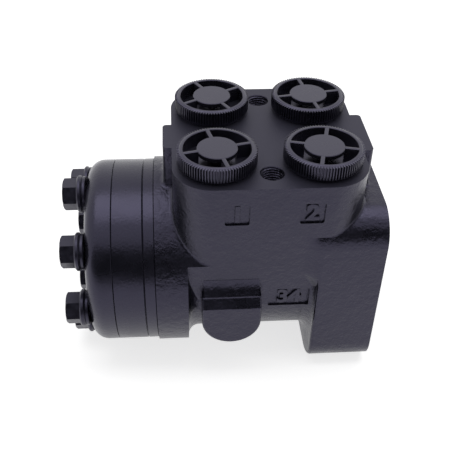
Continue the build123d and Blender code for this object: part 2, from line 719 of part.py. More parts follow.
nodes = {
    "housing": housing(),
    "distributor_plate": distributor_plate(),
    "gear_ring": gear_ring(),
    "end_cover": end_cover(),
    "cover_bolts": round_the_lobes(cover_bolt()),
    "cover_washers": round_the_lobes(washer(washer_r, washer_thickness, bolt_seat, washer_chamfer)),
    "cover_seal_washers": round_the_lobes(
        washer(seal_washer_r, seal_washer_thickness, bolt_seat + washer_thickness, seal_washer_chamfer)),
    "rotor": rotor(),
    "rotor_spacer": rotor_spacer(),
    "drive_link": drive_link(),
    "sleeve": sleeve(),
    "spool": spool(),
    "cross_pin": cross_pin(),
    "leaf_springs_flat": leaf_springs(False),
    "leaf_springs_arched": leaf_springs(True),
    "spring_ring": tube(sleeve_r - valve_clearance, sleeve_r - spring_ring_thickness,
                        -spring_setback - spring_ring_width / 2 + end_clearance,
                        -spring_setback + spring_ring_width / 2 - end_clearance),
    "thrust_race_front": tube(race_outer_r, race_inner_r, bearing_front - race_thickness, bearing_front),
    "thrust_race_rear": tube(race_outer_r, race_inner_r, sleeve_front, sleeve_front + race_thickness),
    "thrust_needles": thrust_needles(),
    "shaft_seal": tube(seal_r - seal_fit, seal_inner_r, shaft_seal_rear, shaft_seal_front),
    "dust_seal": tube(seal_r - seal_fit, seal_inner_r, seal_front - dust_seal_width, seal_front),
    "seal_rings": [seal_ring(rear_face, 1), seal_ring(plate_rear, -1), seal_ring(ring_rear, 1)],
    "check_valve_seat": check_valve_seat(),
    "check_ball": check_ball(),
}
for name, (x, y) in port_places.items():
    nodes[name] = transport_plug(x, y, plug_turns[name])

os.makedirs("parts", exist_ok=True)
for name, shape in nodes.items():
    if isinstance(shape, list):
        shape = Compound(children=shape)
    export_step(shape, f"parts/{name}.step")
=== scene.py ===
import json
import math

import bmesh
import bpy
from mathutils import Matrix, Vector


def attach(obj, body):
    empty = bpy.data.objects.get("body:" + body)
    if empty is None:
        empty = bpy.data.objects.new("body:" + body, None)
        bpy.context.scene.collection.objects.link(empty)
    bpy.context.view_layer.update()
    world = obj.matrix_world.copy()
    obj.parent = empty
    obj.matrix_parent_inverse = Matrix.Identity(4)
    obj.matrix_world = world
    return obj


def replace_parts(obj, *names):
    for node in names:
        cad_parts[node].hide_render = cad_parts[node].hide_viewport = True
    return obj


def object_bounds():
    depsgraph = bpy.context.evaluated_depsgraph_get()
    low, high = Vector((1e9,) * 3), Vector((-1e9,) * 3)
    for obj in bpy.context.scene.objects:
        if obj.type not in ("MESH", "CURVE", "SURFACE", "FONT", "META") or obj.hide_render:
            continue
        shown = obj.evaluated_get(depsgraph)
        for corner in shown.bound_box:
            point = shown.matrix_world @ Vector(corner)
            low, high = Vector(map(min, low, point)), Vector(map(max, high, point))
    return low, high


# Looks of an orbital steering unit: finishes for the CAD nodes, moulded transport plugs, threads in the
# tapped holes, cast numerals and the soft blends of the casting. Sizes and places of the pieces are in
# millimetres, in the frame of the CAD model, and new_piece turns them to metres.

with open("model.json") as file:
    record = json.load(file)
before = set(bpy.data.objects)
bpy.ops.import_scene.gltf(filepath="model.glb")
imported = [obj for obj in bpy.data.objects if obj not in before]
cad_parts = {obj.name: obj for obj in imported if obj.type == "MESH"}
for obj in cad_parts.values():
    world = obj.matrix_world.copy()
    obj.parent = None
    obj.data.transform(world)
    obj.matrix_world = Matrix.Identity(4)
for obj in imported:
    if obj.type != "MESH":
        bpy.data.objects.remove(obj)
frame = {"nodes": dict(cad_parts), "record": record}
cad_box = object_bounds()

MM = 0.001
mounts = {mount["name"]: mount for mount in frame["record"]["mounts"]}


def place_of(mount_name):
    """Where a mount of the CAD model is, in millimetres."""
    return Vector(mounts[mount_name]["pos_m"]) / MM


PORTS = ("front_left", "front_right", "back_left", "back_right")
PORT_FACE = place_of("port_face_bolts").z      # height of the ground port face
WAIST_HALF = 38.5                              # half the width of the casting, level with its bore
WALL_DRAFT = 3.5 / PORT_FACE                   # lean of the side walls, out towards the port face


# ---- colour and node helpers ---------------------------------------------------------------

def linear(hex_colour):
    """An sRGB hex colour such as "3a3b40" as linear RGBA."""
    channels = [int(hex_colour[i:i + 2], 16) / 255 for i in (0, 2, 4)]
    return tuple(c / 12.92 if c <= 0.04045 else ((c + 0.055) / 1.055) ** 2.4 for c in channels) + (1.0,)


def add(tree, kind, settings=None, links=None):
    """Adds one node. Settings are its properties or input values by name, and links lead from an output
    socket to the input of that name."""
    node = tree.nodes.new(kind)
    for name, value in (settings or {}).items():
        if isinstance(name, int) or name in node.inputs:
            node.inputs[name].default_value = value
        else:
            setattr(node, name, value)
    for name, output in (links or {}).items():
        tree.links.new(output, node.inputs[name])
    return node


def new_material(name):
    """An empty node material, with its tree and its object coordinates."""
    material = bpy.data.materials.new(name)
    material.use_nodes = True
    tree = material.node_tree
    tree.nodes.clear()
    place = add(tree, "ShaderNodeTexCoord").outputs["Object"]
    return material, tree, place


def scale_for(size):
    """Texture scale on object coordinates for a pattern of this size in millimetres."""
    return 1 / (size * MM)


# ---- materials -----------------------------------------------------------------------------

# Real sizes of the surface patterns, in millimetres.
SAND_LUMP = 3.6                # soft lumps that the sand mould leaves on the casting
ORANGE_PEEL = 1.1              # dimples of the sprayed enamel
CASTING_PATCH = 14.0           # slow change of sheen over the casting
DISC_PATCH = 11.0              # the same over the turned discs
TURNING_MARK = (0.35, 30.0)    # spacing along the axis, coarser than real so it shows, and length
BOLT_SCUFF = 2.0
FLOW_CLOUD = 8.0               # uneven cooling of the plastic
MOULD_TEXTURE = 0.5            # coarser than real, so it shows
MACHINING_MARK_LENGTH = 12.0
RUBBER_BLOOM = 1.5
PAPER_FIBRE = 1.0
FLOCK_TUFT = 3.0               # coarser than real, so it shows

NOISE_SPREAD = {"From Min": 0.3, "From Max": 0.7}      # where nearly all of a noise value lies
PEEL_SHARE = 0.6               # height of the orange peel on the casting, to that of the lumps
RING_SHARE = 0.3               # height of the turning rings, to that of the orange peel
CAST_RELIEF = 0.9              # bump strength as cast, and where the casting is ground
GROUND_RELIEF = 0.06
GROUND_ROUGHNESS = 0.5
GROUND_MARGIN = 0.1            # a point this near a ground plane, in millimetres, is on the ground face
ENAMEL_TINT = linear("d8d2ff")                         # cool tone of what the enamel mirrors
PLASTIC_TINT = linear("dcd6ff")


def black_enamel_on_cast_iron():
    """Black enamel sprayed on sand-cast iron: a cool satin sheen in slow patches, broken up by orange peel
    and the soft lumps of the casting. The ground port face and mounting face are flat and duller."""
    material, tree, place = new_material("black_enamel_on_cast_iron")
    lumps = add(tree, "ShaderNodeTexNoise", {"Scale": scale_for(SAND_LUMP), "Detail": 2.0, "Roughness": 0.5},
                {"Vector": place}).outputs["Fac"]
    peel = add(tree, "ShaderNodeTexNoise", {"Scale": scale_for(ORANGE_PEEL), "Detail": 3.0, "Roughness": 0.6},
               {"Vector": place}).outputs["Fac"]
    patches = add(tree, "ShaderNodeTexNoise", {"Scale": scale_for(CASTING_PATCH), "Detail": 2.0},
                  {"Vector": place}).outputs["Fac"]
    at = add(tree, "ShaderNodeSeparateXYZ", links={"Vector": place}).outputs
    port_face = add(tree, "ShaderNodeMath",
                    {"operation": "GREATER_THAN", 1: (PORT_FACE - GROUND_MARGIN) * MM},
                    {0: at["Z"]}).outputs[0]
    mounting_face = add(tree, "ShaderNodeMath", {"operation": "GREATER_THAN", 1: -GROUND_MARGIN * MM},
                        {0: at["X"]}).outputs[0]
    ground = add(tree, "ShaderNodeMath", {"operation": "MAXIMUM"},
                 {0: port_face, 1: mounting_face}).outputs[0]
    height = add(tree, "ShaderNodeMath", {"operation": "MULTIPLY_ADD", 1: PEEL_SHARE},
                 {0: peel, 2: lumps}).outputs[0]
    strength = add(tree, "ShaderNodeMapRange", {"To Min": CAST_RELIEF, "To Max": GROUND_RELIEF},
                   {"Value": ground}).outputs[0]
    bump = add(tree, "ShaderNodeBump", {"Distance": 0.35 * MM}, {"Height": height, "Strength": strength})
    colour = add(tree, "ShaderNodeMix", {"data_type": "RGBA", "A": linear("15151b"), "B": linear("1d1d24")},
                 {"Factor": patches}).outputs["Result"]
    as_cast = add(tree, "ShaderNodeMapRange", {**NOISE_SPREAD, "To Min": 0.24, "To Max": 0.34},
                  {"Value": patches}).outputs[0]
    roughness = add(tree, "ShaderNodeMix", {"data_type": "FLOAT", "B": GROUND_ROUGHNESS},
                    {"Factor": ground, "A": as_cast}).outputs["Result"]
    shader = add(tree, "ShaderNodeBsdfPrincipled", {"Specular IOR Level": 0.6, "Specular Tint": ENAMEL_TINT},
                 {"Base Color": colour, "Roughness": roughness, "Normal": bump.outputs["Normal"]})
    add(tree, "ShaderNodeOutputMaterial", links={"Surface": shader.outputs[0]})
    return material


def black_enamel_on_turned_steel():
    """The same enamel on turned discs: a smooth, even sheen with faint rings round the axis."""
    material, tree, place = new_material("black_enamel_on_turned_steel")
    peel = add(tree, "ShaderNodeTexNoise", {"Scale": scale_for(ORANGE_PEEL), "Detail": 2.0},
               {"Vector": place}).outputs["Fac"]
    patches = add(tree, "ShaderNodeTexNoise", {"Scale": scale_for(DISC_PATCH), "Detail": 2.0},
                  {"Vector": place}).outputs["Fac"]
    spacing, length = (scale_for(size) for size in TURNING_MARK)
    stretched = add(tree, "ShaderNodeMapping", {"Scale": (spacing, length, length)},
                    {"Vector": place}).outputs[0]
    rings = add(tree, "ShaderNodeTexNoise", {"Scale": 1.0, "Detail": 1.0},
                {"Vector": stretched}).outputs["Fac"]
    height = add(tree, "ShaderNodeMath", {"operation": "MULTIPLY_ADD", 1: RING_SHARE},
                 {0: rings, 2: peel}).outputs[0]
    bump = add(tree, "ShaderNodeBump", {"Distance": 0.1 * MM, "Strength": 0.7}, {"Height": height})
    colour = add(tree, "ShaderNodeMix", {"data_type": "RGBA", "A": linear("15151b"), "B": linear("1c1c23")},
                 {"Factor": patches}).outputs["Result"]
    roughness = add(tree, "ShaderNodeMapRange", {**NOISE_SPREAD, "To Min": 0.22, "To Max": 0.32},
                    {"Value": patches}).outputs[0]
    shader = add(tree, "ShaderNodeBsdfPrincipled", {"Specular IOR Level": 0.6, "Specular Tint": ENAMEL_TINT},
                 {"Base Color": colour, "Roughness": roughness, "Normal": bump.outputs["Normal"]})
    add(tree, "ShaderNodeOutputMaterial", links={"Surface": shader.outputs[0]})
    return material


def black_zinc_bolt():
    """Black passivated zinc on bolt steel under a thin coat of the enamel: dark satin with small scuffs."""
    material, tree, place = new_material("black_zinc_bolt")
    scuffs = add(tree, "ShaderNodeTexNoise",
                 {"Scale": scale_for(BOLT_SCUFF), "Detail": 4.0, "Roughness": 0.6},
                 {"Vector": place}).outputs["Fac"]
    colour = add(tree, "ShaderNodeValToRGB", links={"Fac": scuffs})
    coat, scuffed = colour.color_ramp.elements
    coat.position, coat.color = 0.35, linear("131318")
    scuffed.position, scuffed.color = 0.75, linear("23232a")
    roughness = add(tree, "ShaderNodeMapRange", {**NOISE_SPREAD, "To Min": 0.30, "To Max": 0.44},
                    {"Value": scuffs}).outputs[0]
    bump = add(tree, "ShaderNodeBump", {"Distance": 0.05 * MM, "Strength": 0.4}, {"Height": scuffs})
    shader = add(tree, "ShaderNodeBsdfPrincipled", {"Specular IOR Level": 0.6, "Specular Tint": ENAMEL_TINT},
                 {"Base Color": colour.outputs[0], "Roughness": roughness, "Normal": bump.outputs["Normal"]})
    add(tree, "ShaderNodeOutputMaterial", links={"Surface": shader.outputs[0]})
    return material


def moulded_black_polyethylene():
    """Injection-moulded polyethylene: a waxy sheen with faint flow clouds over a fine mould texture."""
    material, tree, place = new_material("moulded_black_polyethylene")
    clouds = add(tree, "ShaderNodeTexNoise", {"Scale": scale_for(FLOW_CLOUD), "Detail": 2.0},
                 {"Vector": place}).outputs["Fac"]
    texture = add(tree, "ShaderNodeTexNoise", {"Scale": scale_for(MOULD_TEXTURE), "Detail": 1.0},
                  {"Vector": place}).outputs["Fac"]
    colour = add(tree, "ShaderNodeMix", {"data_type": "RGBA", "A": linear("19191f"), "B": linear("212128")},
                 {"Factor": clouds}).outputs["Result"]
    roughness = add(tree, "ShaderNodeMapRange", {**NOISE_SPREAD, "To Min": 0.25, "To Max": 0.34},
                    {"Value": clouds}).outputs[0]
    bump = add(tree, "ShaderNodeBump", {"Distance": 0.03 * MM, "Strength": 0.5}, {"Height": texture})
    shader = add(tree, "ShaderNodeBsdfPrincipled",
                 {"Specular IOR Level": 0.85, "Specular Tint": PLASTIC_TINT},
                 {"Base Color": colour, "Roughness": roughness, "Normal": bump.outputs["Normal"]})
    add(tree, "ShaderNodeOutputMaterial", links={"Surface": shader.outputs[0]})
    return material


def machined_steel(name, dark, light, roughness_range, mark_size):
    """Bare machined steel: a metallic sheen that changes along fine marks of the given size."""
    material, tree, place = new_material(name)
    length = scale_for(MACHINING_MARK_LENGTH)
    stretched = add(tree, "ShaderNodeMapping", {"Scale": (scale_for(mark_size), length, length)},
                    {"Vector": place}).outputs[0]
    marks = add(tree, "ShaderNodeTexNoise", {"Scale": 1.0, "Detail": 3.0},
                {"Vector": stretched}).outputs["Fac"]
    colour = add(tree, "ShaderNodeMix", {"data_type": "RGBA", "A": linear(dark), "B": linear(light)},
                 {"Factor": marks}).outputs["Result"]
    smoothest, roughest = roughness_range
    roughness = add(tree, "ShaderNodeMapRange", {**NOISE_SPREAD, "To Min": smoothest, "To Max": roughest},
                    {"Value": marks}).outputs[0]
    bump = add(tree, "ShaderNodeBump", {"Distance": 0.01 * MM, "Strength": 0.5}, {"Height": marks})
    shader = add(tree, "ShaderNodeBsdfPrincipled", {"Metallic": 1.0},
                 {"Base Color": colour, "Roughness": roughness, "Normal": bump.outputs["Normal"]})
    add(tree, "ShaderNodeOutputMaterial", links={"Surface": shader.outputs[0]})
    return material


def nitrile_rubber():
    """Moulded nitrile rubber: dull black with a fine grey bloom."""
    material, tree, place = new_material("nitrile_rubber")
    bloom = add(tree, "ShaderNodeTexNoise", {"Scale": scale_for(RUBBER_BLOOM), "Detail": 4.0},
                {"Vector": place}).outputs["Fac"]
    colour = add(tree, "ShaderNodeMix", {"data_type": "RGBA", "A": linear("161617"), "B": linear("222223")},
                 {"Factor": bloom}).outputs["Result"]
    bump = add(tree, "ShaderNodeBump", {"Distance": 0.03 * MM, "Strength": 0.4}, {"Height": bloom})
    shader = add(tree, "ShaderNodeBsdfPrincipled", {"Roughness": 0.62, "IOR": 1.52},
                 {"Base Color": colour, "Normal": bump.outputs["Normal"]})
    add(tree, "ShaderNodeOutputMaterial", links={"Surface": shader.outputs[0]})
    return material


finishes = {
    "cast_black": black_enamel_on_cast_iron(),
    "machined_black": black_enamel_on_turned_steel(),
    "bolt_black": black_zinc_bolt(),
    "plug_plastic": moulded_black_polyethylene(),
    "ground_steel": machined_steel("ground_steel", "8e9095", "b4b6ba",
                                   roughness_range=(0.22, 0.34), mark_size=0.4),
    "spring_steel": machined_steel("blued_spring_steel", "4a4d58", "6b6e78",
                                   roughness_range=(0.28, 0.4), mark_size=0.6),
    "bearing_steel": machined_steel("polished_bearing_steel", "b0b2b6", "cfd0d3",
                                    roughness_range=(0.1, 0.18), mark_size=0.3),
    "seal_rubber": nitrile_rubber(),
}
for part in frame["record"]["subparts"]:
    mesh = frame["nodes"][part["node"]].data
    mesh.materials.clear()
    mesh.materials.append(finishes[part["material_slot"]])


# ---- mesh helpers --------------------------------------------------------------------------

MERGE_DISTANCE = 0.001


def verts_in(geometry):
    """The vertices among what a bmesh operator returned."""
    return [item for item in geometry if isinstance(item, bmesh.types.BMVert)]


def all_of(shape):
    """Every vertex, edge and face of a bmesh."""
    return shape.verts[:] + shape.edges[:] + shape.faces[:]


def revolve(shape, profile, segments):
    """Spins a closed profile of (radius, height) corners about Z into a shell. A corner on the axis becomes
    a pole, which close_shells merges."""
    corners = [shape.verts.new((radius, 0, height)) for radius, height in profile]
    edges = [shape.edges.new(pair) for pair in zip(corners, corners[1:] + corners[:1])]
    bmesh.ops.spin(shape, geom=corners + edges, cent=(0, 0, 0), axis=(0, 0, 1), angle=math.tau,
                   steps=segments, use_merge=True)


def close_shells(shape):
    """Merges the seams and poles of closed shells and turns their faces outwards."""
    bmesh.ops.remove_doubles(shape, verts=shape.verts, dist=MERGE_DISTANCE)
    bmesh.ops.recalc_face_normals(shape, faces=shape.faces)


def new_piece(name, shape, body, slot_name, smooth_angle):
    """Makes a finished bmesh, in millimetres, a piece that rides on a CAD body. Edges bent by more than
    smooth_angle degrees stay sharp."""
    bmesh.ops.scale(shape, vec=(MM, MM, MM), verts=shape.verts)
    mesh = bpy.data.meshes.new(name)
    shape.to_mesh(mesh)
    shape.free()
    mesh.shade_smooth()
    mesh.set_sharp_from_angle(angle=math.radians(smooth_angle))
    mesh.materials.append(finishes[slot_name])
    piece = bpy.data.objects.new(name, mesh)
    bpy.context.scene.collection.objects.link(piece)
    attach(piece, body)
    return piece


# ---- transport plugs -----------------------------------------------------------------------

# Heights are above the port face.
PLUG_R = 17.0
PLUG_HEIGHT = 7.9
PLUG_COLLAR_R = 15.6           # seats on the port face, under the rim
PLUG_COLLAR_TOP = 1.5
PLUG_RIM_R = 14.35             # inner edge of the rim
PLUG_FLOOR = 1.6
PLUG_EDGE = 0.25               # break of the upper edges
PLUG_FOOT_EDGE = 0.15
RIM_UNDER_EDGE = (0.3, 0.2)    # in from the wall, and up
RIM_ROUNDING = ((0.0, 0.5), (0.4, 0.1), (0.6, 0.0))    # each in from the wall, and down from the top
PLUG_SEGMENTS = 128

DISC_R = 8.6
DISC_THICKNESS = 2.2
DISC_UNDER_EDGE = 0.3
DISC_SEGMENTS = 72

SPOKES = 4
SPOKE_WIDTH = 1.8
SPOKE_LAP = 0.3                # into the disc and the rim
SPOKE_SINK = 0.15              # into the floor
SPOKE_DROP = 0.05              # below the top of the rim

KNURLS = 86
KNURL_STEPS = 4                # corners to a knurl: two in the valley, two on the crest
KNURL_DEPTH = 0.95
KNURL_LAP = 0.05               # valleys under the wall of the rim
KNURL_FOOT = 1.65
KNURL_TOP = 7.35
KNURL_END_SINK = 0.3           # ends of the band under the wall
KNURL_FOOT_SLOPE = -0.2
KNURL_TOP_SLOPE = 0.3
RIM_WALL_R = PLUG_R - KNURL_DEPTH

SHANK_LENGTH = 12.0
SHANK_BORE_R = 8.5
SHANK_CORE_R = 9.3
SHANK_CREST_R = 10.2
SHANK_SINK = 0.1               # into the collar
SHANK_LEAD = (0.4, 0.8)        # chamfer at the end, across and along
SHANK_SEGMENTS = 64
RIDGES = 5
RIDGE_PITCH = SHANK_LENGTH / (RIDGES + 0.5)
RIDGE_LAP = 0.05               # into the core
RIDGE_ROOT_HALF = 0.7
RIDGE_CREST_HALF = 0.12

PLUG_TURN = {"front_left": 14.0, "front_right": -14.0, "back_left": 30.0, "back_right": 10.0}     # degrees


def add_spokes(shape):
    """Upright bars from the disc to the rim, with softened upper edges. They are made first, because the
    spin copies all that the bmesh holds."""
    low = Vector((DISC_R - SPOKE_LAP, -SPOKE_WIDTH / 2, PLUG_FLOOR - SPOKE_SINK))
    high = Vector((PLUG_RIM_R + SPOKE_LAP, SPOKE_WIDTH / 2, PLUG_HEIGHT - SPOKE_DROP))
    bar = bmesh.ops.create_cube(shape, size=1.0)["verts"]
    bmesh.ops.scale(shape, vec=high - low, verts=bar)
    bmesh.ops.translate(shape, vec=(low + high) / 2, verts=bar)
    upper = [edge for edge in shape.edges if all(v.co.z > PLUG_FLOOR for v in edge.verts)
             and edge.verts[0].co.y == edge.verts[1].co.y]
    bmesh.ops.bevel(shape, geom=upper, offset=PLUG_EDGE, offset_type="OFFSET", segments=2, profile=0.5,
                    affect="EDGES", material=-1)
    bmesh.ops.spin(shape, geom=all_of(shape), cent=(0, 0, 0), axis=(0, 0, 1),
                   angle=math.tau * (SPOKES - 1) / SPOKES, steps=SPOKES - 1, use_duplicate=True)


def add_cup(shape):
    """Collar, floor and rim in one open cup, and the disc that the spokes hold over its floor."""
    under_in, under_up = RIM_UNDER_EDGE
    revolve(shape, [
        (0, 0), (PLUG_COLLAR_R - PLUG_FOOT_EDGE, 0), (PLUG_COLLAR_R, PLUG_FOOT_EDGE),
        (PLUG_COLLAR_R, PLUG_COLLAR_TOP), (RIM_WALL_R - under_in, PLUG_COLLAR_TOP),
        (RIM_WALL_R, PLUG_COLLAR_TOP + under_up),
        *((RIM_WALL_R - inward, PLUG_HEIGHT - down) for inward, down in RIM_ROUNDING),
        (PLUG_RIM_R + PLUG_EDGE, PLUG_HEIGHT), (PLUG_RIM_R, PLUG_HEIGHT - PLUG_EDGE),
        (PLUG_RIM_R, PLUG_FLOOR), (0, PLUG_FLOOR)], PLUG_SEGMENTS)
    disc_under = PLUG_HEIGHT - DISC_THICKNESS
    revolve(shape, [
        (0, disc_under), (DISC_R - DISC_UNDER_EDGE, disc_under), (DISC_R, disc_under + DISC_UNDER_EDGE),
        (DISC_R, PLUG_HEIGHT - PLUG_EDGE), (DISC_R - PLUG_EDGE, PLUG_HEIGHT), (0, PLUG_HEIGHT)],
            DISC_SEGMENTS)


def ring_edges(shape, loop):
    """The edges between neighbours in a ring of vertices."""
    return [edge for edge in shape.edges if all(v in loop for v in edge.verts)]


def extrude_ring(shape, loop):
    """Extrudes a ring of vertices with its edges, and returns the new vertices, still in place."""
    return set(verts_in(bmesh.ops.extrude_edge_only(shape, edges=ring_edges(shape, loop))["geom"]))


def add_knurls(shape):
    """Band of ridges round the rim. Its ends slope in under the wall of the rim and are joined there."""
    steps = KNURLS * KNURL_STEPS
    foot = set(bmesh.ops.create_circle(shape, cap_ends=False, radius=PLUG_R, segments=steps)["verts"])
    valleys = [v for v in foot
               if round(math.atan2(v.co.y, v.co.x) / math.tau * steps) % KNURL_STEPS < KNURL_STEPS / 2]
    inward = (RIM_WALL_R - KNURL_LAP) / PLUG_R
    bmesh.ops.scale(shape, vec=(inward, inward, 1), verts=valleys)
    bmesh.ops.translate(shape, vec=(0, 0, KNURL_FOOT), verts=list(foot))
    top = extrude_ring(shape, foot)
    bmesh.ops.translate(shape, vec=(0, 0, KNURL_TOP - KNURL_FOOT), verts=list(top))
    hidden_edges = []
    for loop, slope in ((foot, KNURL_FOOT_SLOPE), (top, KNURL_TOP_SLOPE)):
        end = extrude_ring(shape, loop)
        for vert in end:
            vert.co.xy *= (RIM_WALL_R - KNURL_END_SINK) / vert.co.xy.length
            vert.co.z += slope
        hidden_edges += ring_edges(shape, end)
    bmesh.ops.bridge_loops(shape, edges=hidden_edges)


def add_shank(shape):
    """Hollow shank that goes into the port, with moulded ridges for its thread."""
    lead_across, lead_along = SHANK_LEAD
    revolve(shape, [
        (SHANK_BORE_R, SHANK_SINK), (SHANK_CORE_R, SHANK_SINK), (SHANK_CORE_R, lead_along - SHANK_LENGTH),
        (SHANK_CORE_R - lead_across, -SHANK_LENGTH), (SHANK_BORE_R, -SHANK_LENGTH)], SHANK_SEGMENTS)
    root = SHANK_CORE_R - RIDGE_LAP
    for ridge in range(RIDGES):
        height = -RIDGE_PITCH * (ridge + 1)
        revolve(shape, [
            (root, height - RIDGE_ROOT_HALF), (SHANK_CREST_R, height - RIDGE_CREST_HALF),
            (SHANK_CREST_R, height + RIDGE_CREST_HALF), (root, height + RIDGE_ROOT_HALF)], SHANK_SEGMENTS)


def transport_plug(port):
    """Moulded plug that keeps a port clean: a knurled cup with a disc on spokes and a ridged shank."""
    shape = bmesh.new()
    add_spokes(shape)
    add_cup(shape)
    add_knurls(shape)
    add_shank(shape)
    close_shells(shape)
    bmesh.ops.rotate(shape, cent=(0, 0, 0), matrix=Matrix.Rotation(math.radians(PLUG_TURN[port]), 3, "Z"),
                     verts=shape.verts)
    bmesh.ops.translate(shape, vec=place_of("port_" + port), verts=shape.verts)
    node = "plug_" + port
    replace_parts(new_piece(node + "_moulding", shape, node, "plug_plastic", smooth_angle=35.0), node)


for port in PORTS:
    transport_plug(port)


# ---- threads -------------------------------------------------------------------------------

PORT_THREAD_R = 10.48
PORT_THREAD_PITCH = 1.8
PORT_THREAD_DEPTH = 14.0
PORT_BOLT_PITCH = 1.25
PORT_BOLT_THREAD_DEPTH = 14.0
MOUNTING_BOLT_PITCH = 1.5
MOUNTING_BOLT_THREAD_DEPTH = 16.0

THREAD_START = 0.6             # below the mouth of the hole
THREAD_OFF_WALL = 0.02         # so the roots don't share the surface of the bore
THREAD_HEIGHT = 0.61           # this and the next two are shares of the pitch
CREST_START = 0.45
CREST_END = 0.6
THREAD_STEPS = 32              # in a turn


def thread(name, radius, pitch, depth, mouths, outward):
    """Threads in tapped holes: V-shaped turns wound down each bore, standing in from the major radius.
    Outward is the direction out of the holes. The spin turns the faces to the axis of the bore, and they are
    open against its wall."""
    shape = bmesh.new()
    root, crest = radius - THREAD_OFF_WALL, radius - THREAD_HEIGHT * pitch
    profile = [shape.verts.new((root, 0, 0)), shape.verts.new((crest, 0, pitch * CREST_START)),
               shape.verts.new((crest, 0, pitch * CREST_END)), shape.verts.new((root, 0, pitch))]
    edges = [shape.edges.new(pair) for pair in zip(profile, profile[1:])]
    turns = math.ceil(depth / pitch) + 1
    bmesh.ops.spin(shape, geom=profile + edges, cent=(0, 0, 0), axis=(0, 0, 1), angle=math.tau * turns,
                   steps=THREAD_STEPS * turns, dvec=(0, 0, -pitch / THREAD_STEPS))
    bmesh.ops.bisect_plane(shape, geom=all_of(shape), plane_co=(0, 0, -THREAD_START), plane_no=(0, 0, 1),
                           clear_outer=True)
    bmesh.ops.bisect_plane(shape, geom=all_of(shape), plane_co=(0, 0, -depth), plane_no=(0, 0, 1),
                           clear_inner=True)
    bmesh.ops.remove_doubles(shape, verts=shape.verts, dist=MERGE_DISTANCE)

    turned = Vector((0, 0, 1)).rotation_difference(Vector(outward)).to_matrix()
    pattern = all_of(shape)
    for mouth in mouths:
        copy = verts_in(bmesh.ops.duplicate(shape, geom=pattern)["geom"])
        bmesh.ops.rotate(shape, cent=(0, 0, 0), matrix=turned, verts=copy)
        bmesh.ops.translate(shape, vec=mouth, verts=copy)
    bmesh.ops.delete(shape, geom=verts_in(pattern), context="VERTS")
    new_piece(name, shape, "housing", "cast_black", smooth_angle=50.0)


port_bolts, mounting_bolts = mounts["port_face_bolts"], mounts["mounting_bolts"]
port_bolt_offset = port_bolts["dims"]["spacing_y_mm"] / 2
mounting_bolt_offset = mounting_bolts["dims"]["pcd_mm"] / 2 / math.sqrt(2)

thread("port_bolt_threads", port_bolts["dims"]["hole_r_mm"], PORT_BOLT_PITCH, PORT_BOLT_THREAD_DEPTH,
       [place_of("port_face_bolts") + Vector((0, side * port_bolt_offset, 0)) for side in (-1, 1)],
       port_bolts["axis"])
thread("mounting_bolt_threads", mounting_bolts["dims"]["hole_r_mm"], MOUNTING_BOLT_PITCH,
       MOUNTING_BOLT_THREAD_DEPTH,
       [place_of("mounting_bolts") + Vector((0, y, z)) * mounting_bolt_offset
        for y in (-1, 1) for z in (-1, 1)],
       mounting_bolts["axis"])
thread("port_threads", PORT_THREAD_R, PORT_THREAD_PITCH, PORT_THREAD_DEPTH,
       [place_of("port_" + port) for port in PORTS], mounts["port_front_left"]["axis"])


# ---- cast numerals -------------------------------------------------------------------------

NUMERAL_SIZE = 11.4
NUMERAL_RELIEF = 0.4           # half the thickness, without the rounded edges
NUMERAL_EDGE = 0.25            # rounding of the edges, and what it adds to each stroke
NUMERALS = {"1": (-66.3, -40.6, 50.5), "2": (-34.7, -40.6, 50.5), "34": (-41.2, -37.9, 0.3)}


def numeral(digits, place):
    """Raised plain digits in a sunk field on the -Y side, lying along the lean of the wall."""
    name = "cast_numeral_" + digits
    text = bpy.data.curves.new(name + "_outline", "FONT")
    text.body = digits
    text.size = NUMERAL_SIZE
    text.align_x = "CENTER"
    text.align_y = "CENTER"
    text.extrude = NUMERAL_RELIEF
    text.bevel_depth = NUMERAL_EDGE
    text.bevel_resolution = 2
    text.offset = NUMERAL_EDGE
    outline = bpy.data.objects.new(text.name, text)
    bpy.context.scene.collection.objects.link(outline)
    outline_mesh = bpy.data.meshes.new_from_object(
        outline.evaluated_get(bpy.context.evaluated_depsgraph_get()))
    bpy.data.objects.remove(outline)
    shape = bmesh.new()
    shape.from_mesh(outline_mesh)
    bpy.data.meshes.remove(outline_mesh)
    close_shells(shape)
    upright = math.pi / 2 + math.atan(WALL_DRAFT)
    bmesh.ops.rotate(shape, cent=(0, 0, 0), matrix=Matrix.Rotation(upright, 3, "X"), verts=shape.verts)
    bmesh.ops.translate(shape, vec=place, verts=shape.verts)
    new_piece(name, shape, "housing", "cast_black", smooth_angle=12.0)


for digits, place in NUMERALS.items():
    numeral(digits, place)


# ---- cast blend over the blind boss --------------------------------------------------------

BOSS_SETBACK = 67.8            # mounting face to the middle of the boss
BROW_LENGTH = 25.0
# (y, z) corners, from inside the wall out over the boss, round its crest, up a hollow slope and back in.
BROW = ((-38.6, 4.0), (-42.55, 4.0), (-42.62, 4.85), (-42.4, 5.35), (-41.4, 6.5), (-40.6, 7.8),
        (-40.0, 9.2), (-39.55, 10.8), (-39.3, 12.6), (-38.6, 12.6))


def boss_brow():
    """Cast metal that slopes from the side wall down to the crest of the boss, swept along X."""
    shape = bmesh.new()
    profile = shape.faces.new([shape.verts.new((-BOSS_SETBACK - BROW_LENGTH / 2, y, z)) for y, z in BROW])
    far_end = verts_in(bmesh.ops.extrude_face_region(shape, geom=[profile])["geom"])
    bmesh.ops.translate(shape, vec=(BROW_LENGTH, 0, 0), verts=far_end)
    close_shells(shape)
    new_piece("casting_boss_brow", shape, "housing", "cast_black", smooth_angle=40.0)


boss_brow()


# ---- cast blend between the side walls and the mounting flange -----------------------------

FLANGE_BACK = -29.3
FLANGE_HALF = 41.99            # half its width
FLANGE_HALF_HEIGHT = 45.0
FLANGE_CORNER_R = 15.0

